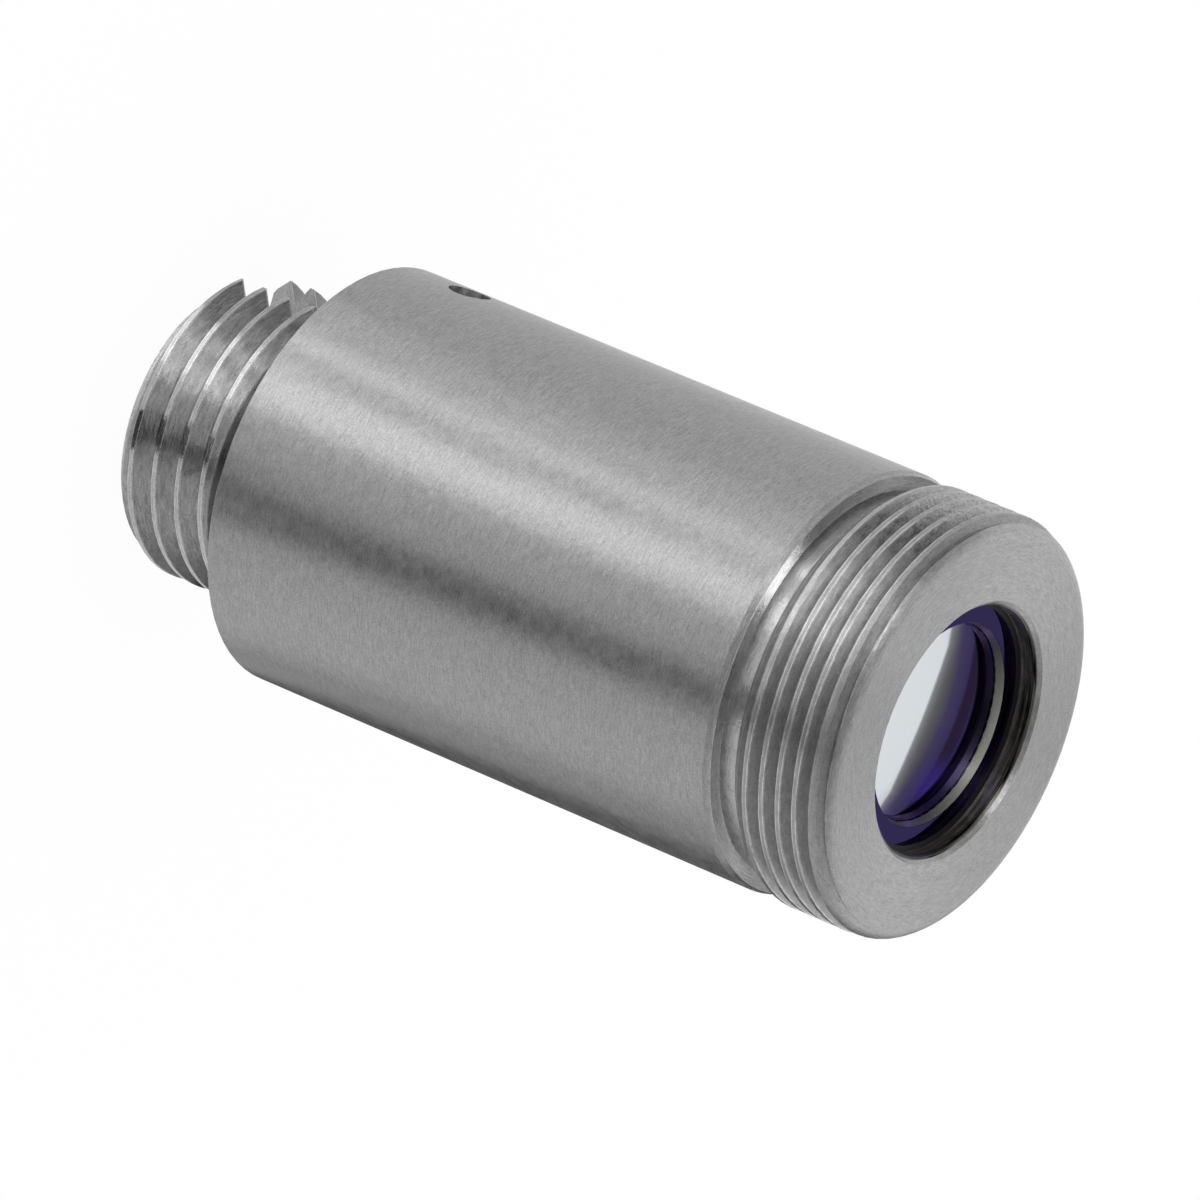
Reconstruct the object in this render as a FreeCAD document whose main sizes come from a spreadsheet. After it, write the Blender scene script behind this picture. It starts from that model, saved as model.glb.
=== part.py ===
import FreeCAD, Part
import os
import Sketcher

# Fixed-focus fibre collimator, in millimetres.
# It stands on its receptacle end: origin at the centre of the rear end face, +Z along the
# light axis towards the lens, and +Y through the keyway and the set screw.

vector = FreeCAD.Vector
doc = FreeCAD.newDocument("FibreCollimator")

# Driving sizes
sizes = {
    # barrel
    "overall_length": 23.4,
    "body_diameter": 11.0,
    "body_edge_break": 0.04,
    "stub_reach": 4.3,
    "front_thread_length": 2.55,
    "front_thread_pitch": 0.5,
    "front_thread_depth": 0.29,
    "front_thread_crest": 0.13,
    "front_thread_phase": 0.077,
    "front_edge_radius": 0.58,
    "front_relief_depth": 0.45,
    "front_relief_floor": 0.47,
    "shoulder_bevel_radial": 0.08,
    "shoulder_bevel_axial": 0.18,
    "mouth_chamfer": 0.15,
    "clear_bore_diameter": 5.6,
    "rear_bore_depth": 5.67,
    # lens
    "lens_diameter": 6.5,
    "lens_clearance": 0.01,
    "lens_recess": 0.59,
    "lens_rim_thickness": 2.1,
    "lens_edge_bevel": 0.13,
    "lens_rim_inner_diameter": 5.3,
    "lens_dome_diameter": 5.14,
    "lens_dome_drop": 0.26,
    "lens_dome_radius": 9.0,
    "bond_depth": 0.22,
    "bond_rise": 0.04,
    # receptacle
    "stub_diameter": 8.0,
    "stub_chamfer": 0.4,
    "stub_thread_length": 3.4,
    "stub_thread_pitch": 0.75,
    "stub_thread_depth": 0.46,
    "stub_thread_crest": 0.12,
    "stub_thread_phase": 0.205,
    "spigot_diameter": 7.0,
    "spigot_clearance": 0.01,
    "spigot_length": 4.97,
    "plug_bore_diameter": 6.0,
    "plug_bore_depth": 4.0,
    "plug_bore_chamfer": 0.15,
    "keyway_width": 2.2,
    "keyway_length": 3.3,
    # ferrule sleeve
    "sleeve_diameter": 4.0,
    "sleeve_clearance": 0.005,
    "sleeve_setback": 2.2,
    "ferrule_bore_diameter": 2.5,
    "ferrule_lead_in": 0.3,
    "ferrule_stop_depth": 6.8,
    "ferrule_stop_thickness": 1.5,
    "light_hole_diameter": 1.6,
    "receptacle_exit_diameter": 3.0,
    "sleeve_chamfer": 0.15,
    # set screw
    "screw_hole_diameter": 1.1,
    "screw_clearance": 0.01,
    "screw_setback": 2.0,
    "screw_recess": 0.5,
    "screw_chamfer": 0.1,
    "screw_socket_width": 0.7,
    "screw_socket_depth": 0.6,
}

sheet = doc.addObject("Spreadsheet::Sheet", "Sizes")
for row, (alias, value) in enumerate(sizes.items(), start=1):
    sheet.set("A%d" % row, alias)
    sheet.set("B%d" % row, str(value))
    sheet.setAlias("B%d" % row, alias)
doc.recompute()


def size(text):
    """An expression on the sheet: words that are aliases get the sheet's name."""
    words = text.split(" ")
    return " ".join("Sizes." + word if word in sizes else word for word in words)


# Heights and radii that several pieces share, each worked out from the driving sizes
body_radius = "body_diameter / 2"
front_face = "overall_length"
thread_end = "overall_length - front_thread_length"
relief_radius = "body_diameter / 2 - front_relief_depth"
relief_start = thread_end + " - front_relief_depth"
shoulder = relief_start + " - front_relief_floor"
lens_bore_radius = "lens_diameter / 2 + lens_clearance"
lens_rim = "overall_length - lens_recess"
lens_seat = lens_rim + " - lens_rim_thickness"
lens_bevel_radius = "lens_diameter / 2 - lens_edge_bevel"
rear_bore_end = "stub_reach + rear_bore_depth"
spigot_radius = "spigot_diameter / 2 - spigot_clearance"
spigot_end = "stub_reach + spigot_length"
undercut_end = "stub_thread_length + stub_diameter / 2 - spigot_diameter / 2 + spigot_clearance"
sleeve_bore_radius = "sleeve_diameter / 2 + sleeve_clearance"
sleeve_end = "ferrule_stop_depth + ferrule_stop_thickness"
screw_height = "stub_reach + screw_setback"
screw_radius = "screw_hole_diameter / 2 - screw_clearance"
screw_length = "body_diameter / 2 - screw_recess - spigot_diameter / 2 + spigot_clearance"
cut_margin = 0.5
thread_overcut = 0.03
flank_slope = "tan(30)"


def origin_feature(body, role):
    """The plane or axis of a body's own origin that has this role."""
    return next(f for f in body.Origin.OriginFeatures if f.Role == role)


def new_sketch(body, name, role):
    sketch = body.newObject("Sketcher::SketchObject", name)
    sketch.AttachmentSupport = [(origin_feature(body, role), "")]
    sketch.MapMode = "FlatFace"
    return sketch


def bind(sketch, constraint, text):
    """Tie one numbered constraint of a sketch to the sheet."""
    sketch.setExpression("Constraints[%d]" % constraint, size(text))


def place_point(sketch, line, end, across, up):
    """Fix one end of a line across from and up from the sketch's origin."""
    for kind, axis, text in (("DistanceX", -2, across), ("DistanceY", -1, up)):
        if text == "0":
            sketch.addConstraint(Sketcher.Constraint("PointOnObject", line, end, axis))
        else:
            value = float(sketch.evalExpression(size(text)))
            number = sketch.addConstraint(Sketcher.Constraint(kind, -1, 1, line, end, value))
            bind(sketch, number, text)


def outline(sketch, corners):
    """A closed outline of straight lines through corners, each given as two size texts."""
    spots = [vector(*(float(sketch.evalExpression(size(text))) for text in corner)) for corner in corners]
    first = sketch.GeometryCount
    for start, stop in zip(spots, spots[1:] + spots[:1]):
        sketch.addGeometry(Part.LineSegment(start, stop), False)
    for number, corner in enumerate(corners):
        line = first + number
        before = first + (number - 1) % len(corners)
        sketch.addConstraint(Sketcher.Constraint("Coincident", before, 2, line, 1))
        place_point(sketch, line, 1, *corner)


def turned(name, corners):
    """A body turned about its own Z axis from an outline of radii and heights."""
    body = doc.addObject("PartDesign::Body", name)
    sketch = new_sketch(body, name + "_outline", "XZ_Plane")
    outline(sketch, corners)
    turn = body.newObject("PartDesign::Revolution", name + "_turned")
    turn.Profile = sketch
    turn.ReferenceAxis = (origin_feature(body, "Z_Axis"), [""])
    turn.Angle = 360
    doc.recompute()
    return body


def cut_outwards(body, name, draw, reach):
    """Cut a drawn outline from the light axis out along +Y, through one side of the wall."""
    before = body.Shape.Volume
    sketch = new_sketch(body, name + "_outline", "XZ_Plane")
    draw(sketch)
    pocket = body.newObject("PartDesign::Pocket", name)
    pocket.Profile = sketch
    pocket.Type = "Length"
    pocket.setExpression("Length", size(reach))
    pocket.Reversed = False
    doc.recompute()
    if body.Shape.Volume > before - 1e-6:
        pocket.Reversed = True
        doc.recompute()
    if body.Shape.Volume > before - 1e-6:
        raise RuntimeError(name + " removed nothing")


def round_edge(body, name, edge_radius, edge_height, rounding):
    """Round the circular edge round Z that has this radius and height."""
    radius = float(body.evalExpression(size(edge_radius)))
    height = float(body.evalExpression(size(edge_height)))
    base = body.Tip
    edges = []
    for number, edge in enumerate(base.Shape.Edges, start=1):
        circle = edge.Curve
        if isinstance(circle, Part.Circle) and abs(circle.Radius - radius) + abs(circle.Center.z - height) < 1e-6:
            edges.append("Edge%d" % number)
    fillet = body.newObject("PartDesign::Fillet", name)
    fillet.Base = (base, edges)
    fillet.setExpression("Radius", size(rounding))
    doc.recompute()


def cut_thread(body, name, crest, depth, pitch, flat, start, end):
    """Cut a right-hand 60 degree V groove round Z, from a height at +X up to a height.

    The cutter's flanks run on a little past the crest, so that no edge of it lies on the blank's wall.
    """
    before = body.Shape.Volume
    half_gap = "( %s - %s ) / 2" % (pitch, flat)
    root = "( %s - %s * %s )" % (half_gap, depth, flank_slope)
    rim = "( %s + %g * %s )" % (half_gap, thread_overcut, flank_slope)
    sketch = new_sketch(body, name + "_outline", "XZ_Plane")
    outline(sketch, [
        ("%s + %g" % (crest, thread_overcut), "%s - %s" % (start, rim)),
        ("%s - %s" % (crest, depth), "%s - %s" % (start, root)),
        ("%s - %s" % (crest, depth), "%s + %s" % (start, root)),
        ("%s + %g" % (crest, thread_overcut), "%s + %s" % (start, rim)),
    ])
    groove = body.newObject("PartDesign::SubtractiveHelix", name)
    groove.Profile = sketch
    groove.ReferenceAxis = (origin_feature(body, "Z_Axis"), [""])
    groove.Mode = "pitch-height-angle"
    groove.setExpression("Pitch", size(pitch))
    groove.setExpression("Height", size("%s - ( %s )" % (end, start)))
    groove.Angle = 0
    groove.LeftHanded = False
    groove.Reversed = False
    doc.recompute()
    if body.Shape.Volume > before - 1e-6:
        raise RuntimeError(name + " removed nothing")


def make_housing():
    """The barrel: one turned piece with its bores, front thread, relief and tapped side hole."""
    body = turned("housing", [
        (lens_bore_radius, lens_seat),
        ("clear_bore_diameter / 2", lens_seat),
        ("clear_bore_diameter / 2", rear_bore_end),
        ("spigot_diameter / 2", rear_bore_end),
        ("spigot_diameter / 2", "stub_reach"),
        (body_radius + " - body_edge_break", "stub_reach"),
        (body_radius, "stub_reach + body_edge_break"),
        (body_radius, shoulder + " - shoulder_bevel_axial"),
        (body_radius + " - shoulder_bevel_radial", shoulder),
        (relief_radius, shoulder),
        (relief_radius, relief_start),
        (body_radius, thread_end),
        (body_radius, front_face),
        (lens_bore_radius + " + mouth_chamfer", front_face),
        (lens_bore_radius, front_face + " - mouth_chamfer"),
    ])

    round_edge(body, "front_rounding", body_radius, front_face, "front_edge_radius")
    cut_thread(
        body, "front_thread", body_radius, "front_thread_depth", "front_thread_pitch", "front_thread_crest",
        relief_start + " + front_thread_phase", front_face + " + front_thread_pitch / 2",
    )

    def screw_hole(sketch):
        height = float(sketch.evalExpression(size(screw_height)))
        radius = float(sketch.evalExpression(size("screw_hole_diameter / 2")))
        circle = sketch.addGeometry(Part.Circle(vector(0, height, 0), vector(0, 0, 1), radius), False)
        place_point(sketch, circle, 3, "0", screw_height)
        number = sketch.addConstraint(Sketcher.Constraint("Radius", circle, radius))
        bind(sketch, number, "screw_hole_diameter / 2")

    cut_outwards(body, "screw_hole", screw_hole, body_radius + " + %g" % cut_margin)
    return body


def make_receptacle():
    """The fibre receptacle: threaded stub, plug mouth, keyway and the spigot that slides for focus."""
    body = turned("fibre_receptacle", [
        ("plug_bore_diameter / 2 + plug_bore_chamfer", "0"),
        ("stub_diameter / 2 - stub_chamfer", "0"),
        ("stub_diameter / 2", "stub_chamfer"),
        ("stub_diameter / 2", "stub_thread_length"),
        (spigot_radius, undercut_end),
        (spigot_radius, spigot_end),
        ("receptacle_exit_diameter / 2", spigot_end),
        ("receptacle_exit_diameter / 2", sleeve_end),
        (sleeve_bore_radius, sleeve_end),
        (sleeve_bore_radius, "plug_bore_depth"),
        ("plug_bore_diameter / 2", "plug_bore_depth"),
        ("plug_bore_diameter / 2", "plug_bore_chamfer"),
    ])

    def keyway(sketch):
        half = float(sketch.evalExpression(size("keyway_width / 2")))
        centre = float(sketch.evalExpression(size("keyway_length - keyway_width / 2")))
        left = vector(-half, -cut_margin, 0)
        right = vector(half, -cut_margin, 0)
        top_right = vector(half, centre, 0)
        top_left = vector(-half, centre, 0)
        ends = ((left, right), (right, top_right), (top_left, left))
        for start, stop in ends:
            sketch.addGeometry(Part.LineSegment(start, stop), False)
        crown = vector(0, centre + half, 0)
        sketch.addGeometry(Part.Arc(top_right, crown, top_left), False)
        sketch.addConstraint(Sketcher.Constraint("Coincident", 0, 2, 1, 1))
        sketch.addConstraint(Sketcher.Constraint("Tangent", 1, 2, 3, 1))
        sketch.addConstraint(Sketcher.Constraint("Tangent", 3, 2, 2, 1))
        sketch.addConstraint(Sketcher.Constraint("Coincident", 2, 2, 0, 1))
        sketch.addConstraint(Sketcher.Constraint("Horizontal", 0))
        sketch.addConstraint(Sketcher.Constraint("Vertical", 1))
        sketch.addConstraint(Sketcher.Constraint("DistanceY", 0, 1, -1, 1, cut_margin))
        place_point(sketch, 3, 3, "0", "keyway_length - keyway_width / 2")
        number = sketch.addConstraint(Sketcher.Constraint("Radius", 3, half))
        bind(sketch, number, "keyway_width / 2")

    cut_outwards(body, "keyway", keyway, "stub_diameter / 2 + %g" % cut_margin)
    cut_thread(
        body, "stub_thread", "stub_diameter / 2", "stub_thread_depth", "stub_thread_pitch", "stub_thread_crest",
        "- stub_thread_phase - stub_thread_pitch", undercut_end,
    )
    return body


def make_sleeve():
    """The ferrule sleeve: precision bore with a lead-in, and the stop that sets the focus."""
    return turned("ferrule_sleeve", [
        ("ferrule_bore_diameter / 2 + ferrule_lead_in", "sleeve_setback"),
        ("sleeve_diameter / 2 - sleeve_chamfer", "sleeve_setback"),
        ("sleeve_diameter / 2", "sleeve_setback + sleeve_chamfer"),
        ("sleeve_diameter / 2", sleeve_end),
        ("light_hole_diameter / 2", sleeve_end),
        ("light_hole_diameter / 2", "ferrule_stop_depth"),
        ("ferrule_bore_diameter / 2", "ferrule_stop_depth"),
        ("ferrule_bore_diameter / 2", "sleeve_setback + ferrule_lead_in"),
    ])


def make_lens():
    """The moulded lens: a dome sunk inside a flat rim, a bevelled edge and a flat back."""
    body = doc.addObject("PartDesign::Body", "aspheric_lens")
    sketch = new_sketch(body, "aspheric_lens_outline", "XZ_Plane")
    dome_edge = lens_rim + " - lens_dome_drop"
    corners = [
        ("lens_dome_diameter / 2", dome_edge),
        ("lens_rim_inner_diameter / 2", lens_rim),
        (lens_bevel_radius, lens_rim),
        ("lens_diameter / 2", lens_rim + " - lens_edge_bevel"),
        ("lens_diameter / 2", lens_seat),
        ("0", lens_seat),
    ]
    spots = [vector(*(float(sketch.evalExpression(size(text))) for text in corner)) for corner in corners]
    for start, stop in zip(spots, spots[1:]):
        sketch.addGeometry(Part.LineSegment(start, stop), False)
    radius = float(sketch.evalExpression(size("lens_dome_radius")))
    edge = spots[0]
    centre = vector(0, edge.y - (radius ** 2 - edge.x ** 2) ** 0.5, 0)
    apex = centre + vector(0, radius, 0)
    axis_line = sketch.addGeometry(Part.LineSegment(spots[-1], apex), False)
    half_way = (edge - centre) + (apex - centre)
    crown = centre + half_way * (radius / half_way.Length)
    dome = sketch.addGeometry(Part.Arc(edge, crown, apex), False)
    for number, corner in enumerate(corners[:-1]):
        place_point(sketch, number, 1, *corner)
        if number:
            sketch.addConstraint(Sketcher.Constraint("Coincident", number - 1, 2, number, 1))
    place_point(sketch, axis_line, 1, *corners[-1])
    sketch.addConstraint(Sketcher.Constraint("Coincident", axis_line - 1, 2, axis_line, 1))
    sketch.addConstraint(Sketcher.Constraint("PointOnObject", axis_line, 2, -2))
    sketch.addConstraint(Sketcher.Constraint("Coincident", dome, 1, 0, 1))
    sketch.addConstraint(Sketcher.Constraint("Coincident", dome, 2, axis_line, 2))
    sketch.addConstraint(Sketcher.Constraint("PointOnObject", dome, 3, -2))
    number = sketch.addConstraint(Sketcher.Constraint("Radius", dome, radius))
    bind(sketch, number, "lens_dome_radius")
    turn = body.newObject("PartDesign::Revolution", "aspheric_lens_turned")
    turn.Profile = sketch
    turn.ReferenceAxis = (origin_feature(body, "Z_Axis"), [""])
    turn.Angle = 360
    doc.recompute()
    return body


def make_bond_ring():
    """The adhesive: it fills the groove between the lens bevel and the bore, and creeps up the wall."""
    return turned("lens_bond_ring", [
        (lens_bevel_radius, lens_rim),
        (lens_bore_radius, lens_rim + " + bond_rise"),
        (lens_bore_radius, lens_rim + " - bond_depth"),
        ("lens_diameter / 2", lens_rim + " - bond_depth"),
        ("lens_diameter / 2", lens_rim + " - lens_edge_bevel"),
    ])


def make_set_screw():
    """The set screw, drawn along its own Z axis from its tip and then laid along +Y."""
    body = turned("set_screw", [
        ("0", "0"),
        (screw_radius + " - screw_chamfer", "0"),
        (screw_radius, "screw_chamfer"),
        (screw_radius, screw_length + " - screw_chamfer"),
        (screw_radius + " - screw_chamfer", screw_length),
        ("0", screw_length),
    ])
    before = body.Shape.Volume
    sketch = new_sketch(body, "socket_outline", "XY_Plane")
    sketch.setExpression("AttachmentOffset.Base.z", size(screw_length))
    corner_radius = "screw_socket_width / 2 / cos(30)"
    radius = float(sketch.evalExpression(size(corner_radius)))
    turns = [FreeCAD.Rotation(vector(0, 0, 1), 60 * step) for step in range(6)]
    spots = [turn.multVec(vector(radius, 0, 0)) for turn in turns]
    circle = sketch.addGeometry(Part.Circle(vector(0, 0, 0), vector(0, 0, 1), radius), True)
    sketch.addConstraint(Sketcher.Constraint("Coincident", circle, 3, -1, 1))
    number = sketch.addConstraint(Sketcher.Constraint("Radius", circle, radius))
    bind(sketch, number, corner_radius)
    for start, stop in zip(spots, spots[1:] + spots[:1]):
        sketch.addGeometry(Part.LineSegment(start, stop), False)
    for side in range(1, 7):
        following = side % 6 + 1
        sketch.addConstraint(Sketcher.Constraint("Coincident", side, 2, following, 1))
        sketch.addConstraint(Sketcher.Constraint("PointOnObject", side, 1, circle))
        if side > 1:
            sketch.addConstraint(Sketcher.Constraint("Equal", 1, side))
    sketch.addConstraint(Sketcher.Constraint("PointOnObject", 1, 1, -1))
    pocket = body.newObject("PartDesign::Pocket", "socket")
    pocket.Profile = sketch
    pocket.Type = "Length"
    pocket.setExpression("Length", size("screw_socket_depth"))
    doc.recompute()
    if body.Shape.Volume > before - 1e-6:
        raise RuntimeError("the socket removed nothing")
    body.Placement = FreeCAD.Placement(vector(0, 0, 0), FreeCAD.Rotation(vector(1, 0, 0), -90))
    body.setExpression("Placement.Base.y", size(spigot_radius))
    body.setExpression("Placement.Base.z", size(screw_height))
    doc.recompute()
    return body


pieces = [make_housing(), make_receptacle(), make_sleeve(), make_lens(), make_bond_ring(), make_set_screw()]

doc.recompute()
for thing in doc.Objects:
    if "Invalid" in thing.State or "Error" in thing.State:
        raise RuntimeError("%s failed: %s" % (thing.Label, thing.State))
for piece in pieces:
    if piece.Shape.isNull() or not piece.Shape.isValid() or len(piece.Shape.Solids) != 1:
        raise RuntimeError(piece.Label + " is not one valid solid")

os.makedirs("parts", exist_ok=True)
for piece in pieces:
    piece.Shape.exportStep("parts/%s.step" % piece.Label)
    print(piece.Label, "volume %.3f mm3" % piece.Shape.Volume)
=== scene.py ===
import bmesh
import bpy
import math
from mathutils import Matrix, Vector

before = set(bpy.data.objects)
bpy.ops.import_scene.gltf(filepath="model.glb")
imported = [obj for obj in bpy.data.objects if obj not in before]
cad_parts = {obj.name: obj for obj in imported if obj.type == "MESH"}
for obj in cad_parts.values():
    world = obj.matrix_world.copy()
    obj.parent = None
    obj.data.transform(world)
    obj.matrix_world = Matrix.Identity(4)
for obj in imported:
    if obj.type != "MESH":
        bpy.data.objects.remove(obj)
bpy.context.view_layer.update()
mm = 0.001

# Fibre collimator: a turned steel barrel that stands on its threaded receptacle, lens upwards.
# +Z runs along the light axis to the lens and +Y through the keyway and the set screw.


class Num:
    # one number that runs through a material; plain arithmetic on it adds the Math nodes
    def __init__(self, finish, socket):
        self.finish = finish
        self.socket = socket

    def math(self, operation, *others, clamp=False):
        settings = {"operation": operation, "use_clamp": clamp}
        node = self.finish.node("ShaderNodeMath", settings, dict(enumerate((self,) + others)))
        return Num(self.finish, node.outputs[0])

    def __add__(self, other):
        return self.math("ADD", other)

    def __mul__(self, other):
        return self.math("MULTIPLY", other)

    def __sub__(self, other):
        return self.math("SUBTRACT", other)

    def __truediv__(self, other):
        return self.math("DIVIDE", other)

    def __rsub__(self, other):
        return (self * -1) + other

    __radd__ = __add__
    __rmul__ = __mul__

    def root(self):
        return self.math("SQRT")

    def fraction(self):
        # what is past the last whole number
        return self.math("FRACT")

    def size(self):
        return self.math("ABSOLUTE")

    def clamped(self):
        return self.math("ADD", 0, clamp=True)

    def between(self, low, high):
        # 0 below low, 1 above high, smooth in the middle
        node = self.finish.node("ShaderNodeMapRange", {"interpolation_type": "SMOOTHSTEP"}, {
            "Value": self, "From Min": low, "From Max": high, "To Min": 0, "To Max": 1})
        return Num(self.finish, node.outputs[0])

    def near(self, middle, width, soft):
        # 1 within width of the middle, 0 past the soft edge on either side
        return 1 - (self - middle).size().between(width, width + soft)


class Finish:
    # one node tree: a new material's, or that of the world or lamp it is given
    def __init__(self, name, owner=None):
        if owner is None:
            owner = bpy.data.materials.new(name)
        owner.use_nodes = True
        self.owner = owner
        self.tree = owner.node_tree
        self.tree.nodes.clear()

    def node(self, kind, settings=None, inputs=None):
        node = self.tree.nodes.new(kind)
        for name, value in (settings or {}).items():
            if name == "stops":
                self.setStops(node.color_ramp.elements, value)
            else:
                setattr(node, name, value)
        for place, value in (inputs or {}).items():
            if isinstance(value, Num):
                self.tree.links.new(value.socket, node.inputs[place])
            elif isinstance(value, bpy.types.NodeSocket):
                self.tree.links.new(value, node.inputs[place])
            else:
                node.inputs[place].default_value = value
        return node

    def setStops(self, elements, stops):
        while len(elements) < len(stops):
            elements.new(1.0)
        for element, (place, color) in zip(elements, stops):
            element.position = place
            element.color = tuple(color) + (1,)

    def ramp(self, value, stops):
        return self.node("ShaderNodeValToRGB", {"stops": stops}, {"Fac": value}).outputs["Color"]

    def noise(self, vector, scale, detail, roughness, w=None):
        inputs = {"Vector": vector, "Scale": scale, "Detail": detail, "Roughness": roughness}
        settings = {"noise_dimensions": "3D"}
        if w is not None:
            inputs["W"] = w
            settings = {"noise_dimensions": "4D"}
        return Num(self, self.node("ShaderNodeTexNoise", settings, inputs).outputs["Fac"])

    def mixed(self, factor, first, second):
        inputs = {"Factor": factor, "A": first, "B": second}
        return self.node("ShaderNodeMix", {"data_type": "RGBA"}, inputs).outputs["Result"]

    def toned(self, color, tone):
        # the colour times a tone that is about 1; a plain colour leaves its alpha out
        if isinstance(color, tuple):
            color = color[:3]
        return self.scaled(color, tone)

    def scaled(self, vector, factor):
        inputs = {"Vector": vector, "Scale": factor}
        return self.node("ShaderNodeVectorMath", {"operation": "SCALE"}, inputs).outputs[0]

    def combined(self, x, y, z):
        return self.node("ShaderNodeCombineXYZ", None, {"X": x, "Y": y, "Z": z}).outputs[0]

    def vector(self, operation, *others):
        node = self.node("ShaderNodeVectorMath", {"operation": operation}, dict(enumerate(others)))
        return node.outputs["Value" if operation == "DISTANCE" else "Vector"]

    def bump(self, height, distance, strength=1.0, normal=None):
        inputs = {"Height": height, "Distance": distance, "Strength": strength}
        if normal is not None:
            inputs["Normal"] = normal
        return self.node("ShaderNodeBump", None, inputs).outputs[0]

    def place(self):
        # the spot on the piece, in millimetres
        return self.scaled(self.node("ShaderNodeTexCoord").outputs["Object"], 1 / mm)

    def split(self, spot):
        # x, y, z and the distance from the light axis
        parts = self.node("ShaderNodeSeparateXYZ", None, {0: spot}).outputs
        x, y, z = (Num(self, parts[axis]) for axis in range(3))
        return x, y, z, (x * x + y * y).root()

    def surface(self, shader):
        self.node("ShaderNodeOutputMaterial", None, {"Surface": shader})
        return self.owner


print("camera")
# fitted to the photo; lengths in millimetres, turns in degrees
cameraSizes = {
    "lens": 443.1,
    "sensor": 36.0,
    "azimuth": 167.93,
    "elevation": 31.08,
    "roll": 112.84,
    "aim": (-4.776, 0.609, 15.434),
    "distance": 358.79,
    "nearest": 10,
    "farthest": 5000,
}


def turnTo(azimuth, elevation):
    # the turn of a camera or lamp that stands at this direction and looks back at the axis
    return (Matrix.Rotation(math.radians(azimuth + 90), 4, "Z")
            @ Matrix.Rotation(math.radians(90 - elevation), 4, "X"))


def makeCamera(values):
    data = bpy.data.cameras.new("photoCamera")
    data.lens = values["lens"]
    data.sensor_width = values["sensor"]
    data.clip_start = values["nearest"] * mm
    data.clip_end = values["farthest"] * mm
    camera = bpy.data.objects.new("photoCamera", data)
    bpy.context.scene.collection.objects.link(camera)
    turn = turnTo(values["azimuth"], values["elevation"])
    turn = turn @ Matrix.Rotation(math.radians(values["roll"]), 4, "Z")
    back = turn @ Vector((0, 0, 1))
    spot = (Vector(values["aim"]) + back * values["distance"]) * mm
    camera.matrix_world = Matrix.Translation(spot) @ turn
    bpy.context.scene.camera = camera


makeCamera(cameraSizes)
bpy.context.scene.view_settings.view_transform = "Standard"

print("floor and light")
white = (1, 1, 1, 1)
studio = {
    "floorWidth": 1.2,  # metres
    "floorColor": (0.95, 0.95, 0.95, 1),
    "floorGlow": 0.96,  # share of the floor that is plain white to the camera and in metal and glass
    "worldColor": white,
    "worldLevel": 1.0,
}


def seenOrMirrored(finish):
    # 1 for the camera's own rays and for those that metal or glass sends on
    path = finish.node("ShaderNodeLightPath").outputs
    seen = Num(finish, path["Is Camera Ray"]) + Num(finish, path["Is Glossy Ray"])
    return (seen + Num(finish, path["Is Transmission Ray"])).clamped()


def makeWorld(values):
    world = bpy.data.worlds.new("studioWorld")
    bpy.context.scene.world = world
    finish = Finish("studioWorld", world)
    background = finish.node("ShaderNodeBackground", None, {
        "Color": values["worldColor"], "Strength": values["worldLevel"]})
    finish.node("ShaderNodeOutputWorld", None, {"Surface": background.outputs[0]})


def makeFloor(values):
    bm = bmesh.new()
    bmesh.ops.create_grid(bm, x_segments=1, y_segments=1, size=values["floorWidth"] / 2)
    mesh = bpy.data.meshes.new("floor")
    bm.to_mesh(mesh)
    bm.free()
    floor = bpy.data.objects.new("floor", mesh)
    bpy.context.scene.collection.objects.link(floor)
    finish = Finish("floorPaper")
    paper = finish.node("ShaderNodeBsdfDiffuse", None, {"Color": values["floorColor"]})
    glow = finish.node("ShaderNodeEmission", None, {"Color": white, "Strength": 1.0})
    share = seenOrMirrored(finish) * values["floorGlow"]
    both = finish.node("ShaderNodeMixShader", None, {0: share, 1: paper.outputs[0], 2: glow.outputs[0]})
    mesh.materials.append(finish.surface(both.outputs[0]))


cardSteps = 24
cards = {
    # name: azimuth and width in degrees, glow, then the radii and heights that the card runs through
    "darkFlag": (197.5, 18, 0.22, ((10.5, 0.02), (60, 0.02), (60, 20))),
    "stubFlag": (184, 17, 0.05, ((4.2, 0.1), (10.5, 0.1))),
    "stubStrip": (139, 30, 2.2, ((4.2, 0.11), (10, 0.11))),
    "stripCard": (146.5, 19, 2.35, ((7, 0.03), (60, 0.03), (60, 20))),
    "edgeCard": (111, 30, 1.32, ((7, 0.04), (60, 0.04), (60, 20))),
    "edgeStrip": (122, 5, 2.9, ((7, 0.05), (59, 0.05), (59, 20))),
    "lowFlag": (316, 50, 0.12, ((7, 0.06), (60, 0.06), (60, 20))),
    "lowShade": (280, 24, 0.65, ((7, 0.07), (60, 0.07), (60, 20))),
    "farCard": (12, 36, 1.13, ((7, 0.09), (60, 0.09), (60, 20))),
    "fillCard": (243, 30, 1.1, ((7, 0.08), (60, 0.08), (60, 20))),
    "sideCard": (124, 36, 4.2, ((50, 54), (34, 72))),
    "shoulderCard": (134, 18, 2.3, ((60, 36), (50, 54))),
    "rearFlag": (197, 48, 0.1, ((54, 48), (34, 72))),
    "topFlag": (0, 360, 0.45, ((0.5, 130), (62, 130))),
    "ringFlag": (170, 250, 0.4, ((62.5, 130), (100, 100), (120, 60))),
}


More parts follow.
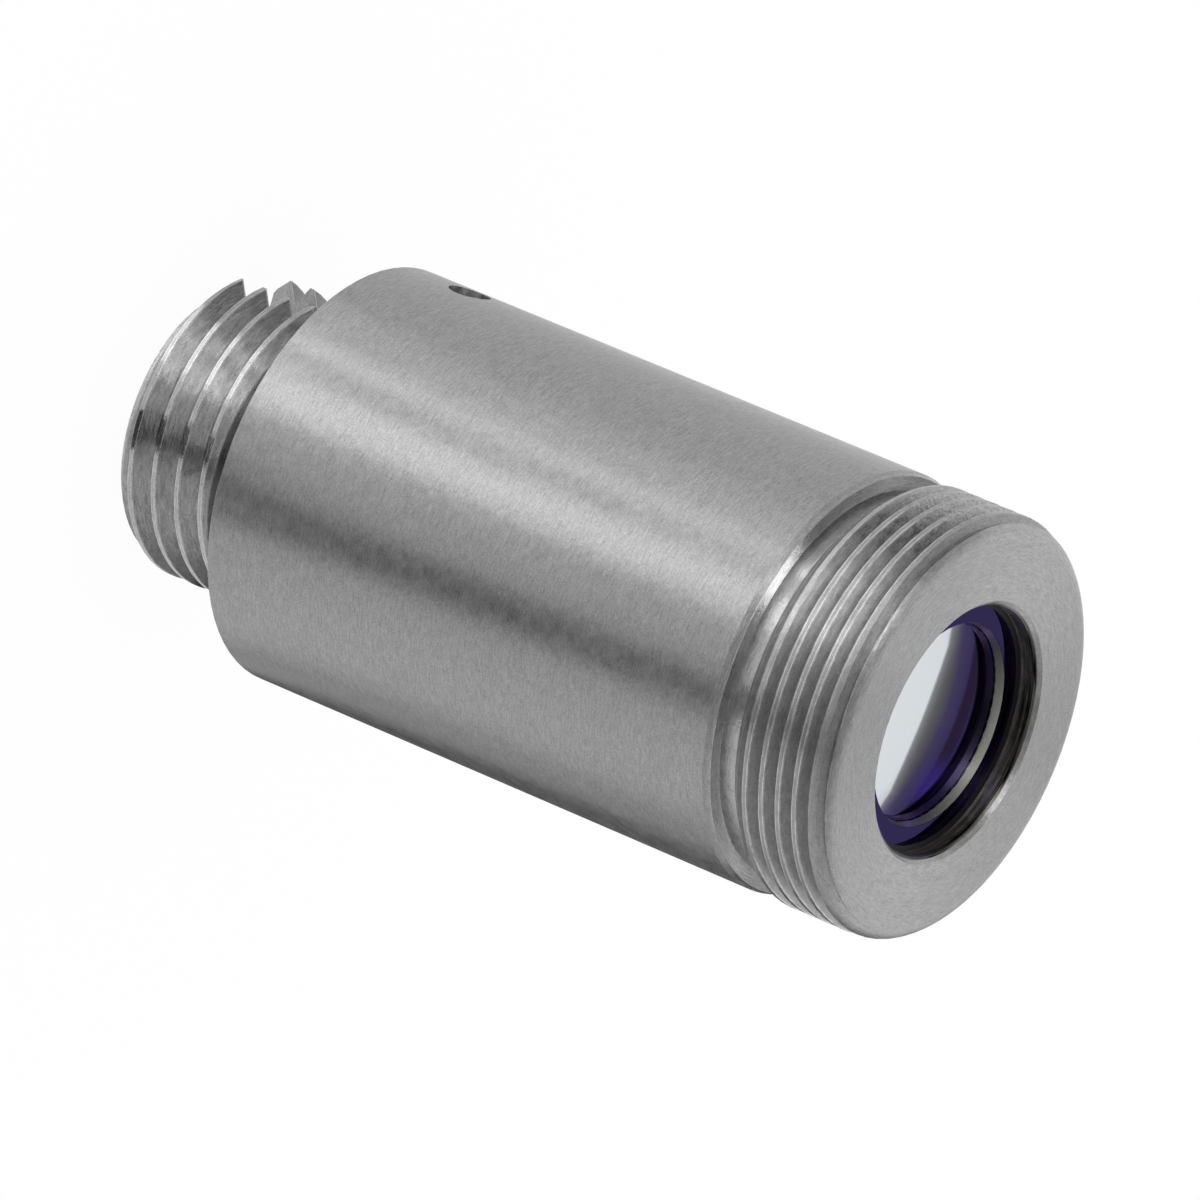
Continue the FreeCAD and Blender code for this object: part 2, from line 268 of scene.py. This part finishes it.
def makeCard(name, azimuth, width, glow, outline):
    # a curved card round the light axis, seen only in the metal
    bm = bmesh.new()
    verts = [bm.verts.new(Vector((radius, 0, height)) * mm) for radius, height in outline]
    edges = [bm.edges.new(pair) for pair in zip(verts, verts[1:])]
    turned = Matrix.Rotation(math.radians(azimuth - width / 2), 3, "Z")
    bmesh.ops.rotate(bm, cent=(0, 0, 0), matrix=turned, verts=verts)
    bmesh.ops.spin(bm, geom=verts + edges, cent=(0, 0, 0), axis=(0, 0, 1), angle=math.radians(width),
                   steps=cardSteps, use_merge=False)
    mesh = bpy.data.meshes.new(name)
    bm.to_mesh(mesh)
    bm.free()
    card = bpy.data.objects.new(name, mesh)
    bpy.context.scene.collection.objects.link(card)
    finish = Finish(name)
    glowing = finish.node("ShaderNodeEmission", None, {"Color": white, "Strength": glow})
    mesh.materials.append(finish.surface(glowing.outputs[0]))
    card.visible_camera = False
    card.visible_diffuse = False
    card.visible_transmission = False
    card.visible_shadow = False


lensSoftbox = {
    "azimuth": -12,
    "elevation": 50,
    "aim": (0, 0, 22.9),
    "distance": 80,
    "size": (116, 104),
    "level": 4.15,
    "shade": (86.42, -16.25, 53.57),  # middle of the round part that is kept dark
    "shadeRadius": 38.25,
    # glow against the distance from the shade's edge
    "fade": (
        (-9, 0),
        (-6, 0.03),
        (-4.5, 0.07),
        (-3, 0.11),
        (-1.5, 0.17),
        (-0.5, 0.28),
        (0.6, 0.9),
        (1.3, 1),
    ),
}


def makeLensSoftbox(values):
    # the bright panel that the lens mirrors; it lights nothing else
    data = bpy.data.lights.new("lensSoftbox", "AREA")
    data.shape = "RECTANGLE"
    data.size, data.size_y = (side * mm for side in values["size"])
    data.energy = values["level"] * data.size * data.size_y * 4  # so that its glow is the level
    finish = Finish("lensSoftbox", data)
    spot = finish.node("ShaderNodeNewGeometry").outputs["Position"]
    middle = tuple(part * mm for part in values["shade"])
    away = finish.vector("DISTANCE", spot, middle)
    start = values["fade"][0][0]
    width = values["fade"][-1][0] - start
    share = (Num(finish, away) * (1 / mm) - values["shadeRadius"] - start) / width
    stops = [((place - start) / width, (level,) * 3) for place, level in values["fade"]]
    glow = finish.node("ShaderNodeEmission", None, {"Color": finish.ramp(share, stops), "Strength": 1.0})
    finish.node("ShaderNodeOutputLight", None, {0: glow.outputs[0]})
    lamp = bpy.data.objects.new("lensSoftbox", data)
    bpy.context.scene.collection.objects.link(lamp)
    turn = turnTo(values["azimuth"], values["elevation"])
    back = turn @ Vector((0, 0, 1))
    spot = (Vector(values["aim"]) + back * values["distance"]) * mm
    lamp.matrix_world = Matrix.Translation(spot) @ turn
    lamp.visible_camera = False
    lensOnly = bpy.data.collections.new("lensOnly")
    lensOnly.objects.link(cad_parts["aspheric_lens"])
    lamp.light_linking.receiver_collection = lensOnly


makeWorld(studio)
makeFloor(studio)
for cardName, sizes in cards.items():
    makeCard(cardName, *sizes)
makeLensSoftbox(lensSoftbox)

print("steel")
# sizes, heights and radii in millimetres; a pair is where a change starts and ends, and three
# numbers are its middle, half width and soft edge; a noise is its sizes, detail and roughness
turnedLook = {
    "color": (0.305, 0.305, 0.305, 1),
    "roughness": 0.40,
    "roughnessSpread": 0.3,
    "anisotropic": 0.75,
    "anisotropicTurn": 0.25,
    "streakNoise": (0.26, 0.045, 1, 0.6),  # length and width
    "streakTone": 0.6,
    "streakDepth": 0.9,
    "cloudNoise": (0.35, 4, 0.6),
    "cloudTone": 0.5,
    "grainNoise": (0.045, 1, 0.5),
    "grainTone": 0.55,
    "waveDepth": 0.007,
    # painted highlights along both edges of a thread's crest, broken up by a noise
    "crestSoft": 0.03,
    "edgeHalf": 0.008,
    "edgeSoft": 0.02,
    "wearNoise": (0.5, 0.2, 2, 0.6),
    "wearRange": (0.3, 0.6),
    "wearShare": 0.6,
}


def streaks(finish, parts, noise):
    # turning marks: long round the axis and narrow along it, and rings on a flat face
    x, y, z, radius = parts
    length, width, detail, roughness = noise
    spot = finish.combined(x / length, y / length, z / width)
    return finish.noise(spot, 1.0, detail, roughness, radius / width)


def patches(finish, parts, noise):
    # uneven spots, with one size across the light axis and one along it
    x, y, z, radius = parts
    across, along, detail, roughness = noise
    return finish.noise(finish.combined(x / across, y / across, z / along), 1.0, detail, roughness)


def specks(finish, spot, noise):
    # uneven spots of one size every way
    size, detail, roughness = noise
    return finish.noise(spot, 1 / size, detail, roughness)


def crestLines(finish, parts, values):
    # where the thread's crest is, and the painted highlights along both its sides
    x, y, z, radius = parts
    pitch = values["pitch"]
    turn = y.math("ARCTAN2", x) / (2 * math.pi)
    along = (((z - values["crest"]) / pitch - turn + 0.5).fraction() - 0.5).size() * pitch
    half = values["crestHalf"]
    onCrest = 1 - along.between(half, half + values["crestSoft"])
    edge = along.near(half, values["edgeHalf"], values["edgeSoft"])
    # a noise breaks the painted highlights into pieces
    highlightBreaks = streaks(finish, parts, values["wearNoise"])
    share = values["wearShare"]
    return onCrest, edge * (highlightBreaks.between(*values["wearRange"]) * share + (1 - share))


def leaned(finish, parts, tilt):
    # the surface's own direction, leaned outwards from the light axis
    x, y, z, radius = parts
    outwards = finish.combined(x / radius * tilt, y / radius * tilt, 0.0)
    plain = finish.node("ShaderNodeNewGeometry").outputs["Normal"]
    return finish.vector("NORMALIZE", finish.vector("ADD", plain, outwards))


def turnedSteel(name, values, regions=None):
    # regions changes the plain finish where a piece has threads, grooves or bores
    finish = Finish(name)
    spot = finish.place()
    parts = finish.split(spot)
    marks = streaks(finish, parts, values["streakNoise"])
    cloud = specks(finish, spot, values["cloudNoise"])
    grain = specks(finish, spot, values["grainNoise"])
    tone = (marks - 0.5) * values["streakTone"] + (cloud - 0.5) * values["cloudTone"] + 1
    tone = tone + (grain - 0.5) * values["grainTone"]
    height = marks * values["streakDepth"] + cloud
    normal = None
    color = values["color"]
    shine = 0
    if regions is not None:
        tone, height, normal, color, shine = regions(finish, parts, tone, height, values)
    roughness = ((cloud - 0.5) * values["roughnessSpread"] + values["roughness"]) * (1 - shine)
    normal = finish.bump(height, values["waveDepth"] * mm, 1.0, normal)
    steel = finish.node("ShaderNodeBsdfPrincipled", None, {
        "Base Color": finish.toned(color, tone), "Metallic": 1.0,
        "Roughness": roughness, "Normal": normal,
        "Anisotropic": values["anisotropic"], "Anisotropic Rotation": values["anisotropicTurn"]})
    return finish.surface(steel.outputs[0])


def dress(node, material):
    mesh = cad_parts[node].data
    mesh.materials.clear()
    mesh.materials.append(material)


housingLook = {
    **turnedLook,
    # painted light: the front face is painted lighter than the barrel
    "faceRange": (22.95, 23.35),
    "faceTone": 1.29,
    # front thread, with painted light on its flanks and painted highlights on its crest edges
    "pitch": 0.5,
    "crest": 22.727,  # height of a crest on the +X side
    "crestHalf": 0.065,
    "threadStart": (20.95, 21.05),
    "threadEnd": (22.85, 22.95),
    "flankTone": 1.3,
    "edgeTone": 1.1,
    # torn metal on one side of the thread, and stains in the grooves beside it
    "tornSide": (0.86, 0.95),
    "tornNoise": (0.12, 0.2, 2, 0.6),
    "tornDepth": 4.5,
    "tornLevel": 0.45,
    "tornTone": 0.9,
    "tornEdge": 0.75,
    "stainSide": (0.86, 0.03, 0.08),
    "stainNoise": (0.3, 0.1, 3, 0.7),
    "stainRange": (0.36, 0.6),
    "stainTone": 0.5,
    # lens bore, with painted shade: a darker colour, darker still towards its mouth
    "boreRadius": (3.3, 3.32),
    "boreFoot": (22.8, 22.84),
    "boreMouth": (22.9, 23.2),
    "boreShade": 0.55,
    "boreColor": (0.19, 0.182, 0.16, 1),
    "ringNoise": (2, 0.09, 2, 0.7),
    "ringTone": 3,
    # relief behind the thread, painted lighter, with painted shade at its foot on the keyway side, and
    # the shoulder at its foot
    "relief": (20.45, 0.5, 0.05),
    "reliefTone": 1.3,
    "foot": (20.16, 0.2, 0.08),
    "footSide": (0.6, 0.72),
    "footShade": 0.42,
    "shoulder": (19.93, 0.012, 0.004),
    "shoulderCorner": (5.05, 5.2),
    "shoulderTilt": (1.5, 1.15),  # inside and outside that corner
    "shinyPart": (20.13, 0.25, 0.05),
    "shine": 0.25,
}


def housingRegions(finish, parts, tone, height, values):
    x, y, z, radius = parts
    side = y / radius
    # painted light on the front face
    tone = tone * (1 + z.between(*values["faceRange"]) * (values["faceTone"] - 1))
    # thread: painted light makes the flanks lighter, and painted highlights run along the crest edges
    onThread = z.between(*values["threadStart"]) * (1 - z.between(*values["threadEnd"]))
    onCrest, edge = crestLines(finish, parts, values)
    torn = patches(finish, parts, values["tornNoise"])
    tornPart = onThread * side.between(*values["tornSide"])
    stain = patches(finish, parts, values["stainNoise"]).between(*values["stainRange"])
    stainPart = onThread * (1 - onCrest) * side.near(*values["stainSide"])
    edge = edge * (1 - tornPart * values["tornEdge"])
    flank = values["flankTone"] - 1
    tone = tone * (1 + onThread * (edge * values["edgeTone"] - onCrest * flank + flank))
    tone = tone * (1 + tornPart * (torn - values["tornLevel"]) * values["tornTone"])
    tone = tone * (1 - stainPart * (1 - stain) * values["stainTone"])
    height = height + torn * tornPart * values["tornDepth"]
    # the lens bore has coarse turning marks, and painted shade: a darker colour that grows darker
    # towards its mouth
    inBore = (1 - radius.between(*values["boreRadius"])) * z.between(*values["boreFoot"])
    rings = patches(finish, parts, values["ringNoise"])
    depth = z.between(*values["boreMouth"])
    tone = tone * (1 + inBore * ((rings - 0.5) * values["ringTone"] - depth * values["boreShade"]))
    color = finish.mixed(inBore, values["color"], values["boreColor"])
    # painted light makes the relief bright, and painted shade darkens its foot on the keyway side
    tone = tone * (1 + z.near(*values["relief"]) * (values["reliefTone"] - 1))
    tone = tone * (1 - z.near(*values["foot"]) * side.between(*values["footSide"]) * values["footShade"])
    # the shoulder was cut by a round tool nose
    inner, outer = values["shoulderTilt"]
    pastCorner = radius.between(*values["shoulderCorner"])
    tilt = z.near(*values["shoulder"]) * (inner - pastCorner * (inner - outer))
    shine = z.near(*values["shinyPart"]) * values["shine"]
    return tone, height, leaned(finish, parts, tilt), color, shine


receptacleLook = {
    **turnedLook,
    "color": (0.34, 0.34, 0.34, 1),
    "roughness": 0.3,
    # where the thread is: outside the stub's wall, short of the barrel and off the keyway
    "outside": (3.44, 3.47),
    "threadEnd": (4.0, 4.5),
    "keyDepth": (3.0, 3.05),
    # rear thread, with painted highlights on the crest and its edges and painted shade in the grooves
    "keyHalf": (1.13, 1.16),
    # rear thread
    "pitch": 0.75,
    "crest": 2.42,  # height of a crest on the +X side
    "crestHalf": 0.055,
    "crestTone": 1.08,
    "crestShine": 0.15,
    "edgeTone": 0.35,
    "flankTone": 0.72,
    "flankTilt": 3.0,
    "stainNoise": (0.6, 0.09, 4, 0.65),
    "stainTone": 0.8,
    "stainDepth": 1.5,
    # the neck at the barrel with painted shadow, and the chamfer and the rim at the rear end with
    # painted highlights
    "neck": (2.92, 3.02),
    "neckTone": 0.8,
    "chamfer": (0.3, 0.4),
    "chamferTone": 1.25,
    "rim": (0.07, 0.12),
    "rimTone": 1.6,
    # painted shade: the wall darkens round to the keyway
    "keySide": (0.5, 0.9),
    "keySideTone": 0.75,
}


def receptacleRegions(finish, parts, tone, height, values):
    x, y, z, radius = parts
    outside = radius.between(*values["outside"]) * (1 - z.between(*values["threadEnd"]))
    keyway = y.between(*values["keyDepth"]) * (1 - x.size().between(*values["keyHalf"]))
    outside = outside * (1 - keyway)
    onCrest, edge = crestLines(finish, parts, values)
    stains = patches(finish, parts, values["stainNoise"])
    neck = z.between(*values["neck"])
    groove = (1 - onCrest) * (1 - neck)
    # painted highlights on the crest and its edges, painted shade in the grooves
    change = onCrest * (values["crestTone"] - 1) + groove * (values["flankTone"] - 1)
    # painted shadow at the neck
    change = change + neck * (values["neckTone"] - 1) + edge * values["edgeTone"]
    # painted highlights on the rear chamfer and rim
    change = change + (1 - z.between(*values["chamfer"])) * (values["chamferTone"] - 1)
    change = change + (1 - z.between(*values["rim"])) * (values["rimTone"] - 1)
    # painted shade towards the keyway
    change = change + (y / radius).between(*values["keySide"]) * (values["keySideTone"] - 1)
    change = change + groove * (stains - 0.5) * values["stainTone"]
    tone = tone * (1 + outside * change)
    height = height + stains * outside * values["stainDepth"]
    normal = leaned(finish, parts, outside * groove * values["flankTilt"])
    return tone, height, normal, values["color"], onCrest * values["crestShine"]


sleeveLook = {
    **turnedLook,
    "color": (0.42, 0.42, 0.415, 1),
    "roughness": 0.24,
    "streakTone": 0.3,
}
screwLook = {
    **turnedLook,
    "color": (0.24, 0.24, 0.245, 1),
    "roughness": 0.34,
    "anisotropic": 0.3,
    "streakNoise": (0.12, 0.045, 1, 0.6),
}

dress("housing", turnedSteel("barrelSteel", housingLook, housingRegions))
dress("fibre_receptacle", turnedSteel("receptacleSteel", receptacleLook, receptacleRegions))
dress("ferrule_sleeve", turnedSteel("sleeveSteel", sleeveLook))
dress("set_screw", turnedSteel("screwSteel", screwLook))

print("lens")
lensLook = {
    "roughness": 0.03,
    "edgeTint": (0.5, 0.48, 0.56, 1),
    # what the coating mirrors, against how far the surface turns away
    "coating": (
        (0.00, (0.088, 0.086, 0.112)),
        (0.22, (0.100, 0.102, 0.114)),
        (0.32, (0.108, 0.114, 0.117)),
        (0.42, (0.108, 0.114, 0.117)),
        (0.46, (0.088, 0.087, 0.097)),
        (0.49, (0.055, 0.048, 0.100)),
        (0.542, (0.044, 0.036, 0.100)),
        (0.556, (0.024, 0.018, 0.030)),
        (0.605, (0.024, 0.018, 0.032)),
        (0.63, (0.036, 0.028, 0.100)),
        (0.70, (0.050, 0.040, 0.110)),
        (1.00, (0.070, 0.060, 0.110)),
    ),
    # painted blue reflection low on the dome
    "reflectionSpot": (0.45, -1.55, 22.6),
    "reflectionReach": (0.1, 1.05),
    "reflectionShare": 0.7,
    "reflectionColor": (0.045, 0.030, 0.230, 1),
    # the steep wall round the dome, and the flat rim on top of it
    "wallStart": (2.57, 2.58),
    "wallColor": (0.42, 0.43, 0.37, 1),
    "wallRoughness": 0.3,
    "rimStart": (22.79, 22.805),
    "rimColor": (0.034, 0.027, 0.080, 1),
}


def coatedGlass(values):
    finish = Finish("coatedGlass")
    spot = finish.place()
    x, y, z, radius = finish.split(spot)
    facing = finish.node("ShaderNodeLayerWeight", None, {"Blend": 0.5}).outputs["Facing"]
    coating = finish.ramp(facing, values["coating"])
    # painted reflection: a blue patch low on the dome
    away = Num(finish, finish.vector("DISTANCE", spot, values["reflectionSpot"]))
    paintedReflection = (1 - away.between(*values["reflectionReach"])) * values["reflectionShare"]
    dome = finish.mixed(paintedReflection, coating, values["reflectionColor"])
    pastDome = radius.between(*values["wallStart"])
    pastWall = pastDome * z.between(*values["rimStart"])
    color = finish.mixed(pastDome, dome, values["wallColor"])
    color = finish.mixed(pastWall, color, values["rimColor"])
    rougher = values["wallRoughness"] - values["roughness"]
    roughness = (pastDome - pastWall) * rougher + values["roughness"]
    glass = finish.node("ShaderNodeBsdfPrincipled", None, {
        "Base Color": color, "Metallic": 1.0, "Roughness": roughness,
        "Specular Tint": values["edgeTint"]})
    return finish.surface(glass.outputs[0])


glueLook = {
    "color": (0.008, 0.007, 0.007, 1),
    "roughness": 0.35,
    "roughnessSpread": 0.2,
    "grainNoise": (1 / 9, 2, 0.5),
    "grainDepth": 0.01,
    "grainStrength": 0.5,
    "shine": 0.15,
}


def blackGlue(values):
    finish = Finish("blackGlue")
    grain = specks(finish, finish.place(), values["grainNoise"])
    normal = finish.bump(grain, values["grainDepth"] * mm, values["grainStrength"])
    roughness = grain * values["roughnessSpread"] + values["roughness"]
    glue = finish.node("ShaderNodeBsdfPrincipled", None, {
        "Base Color": values["color"], "Roughness": roughness,
        "Specular IOR Level": values["shine"], "Normal": normal})
    return finish.surface(glue.outputs[0])


dress("aspheric_lens", coatedGlass(lensLook))
dress("lens_bond_ring", blackGlue(glueLook))

print("done")
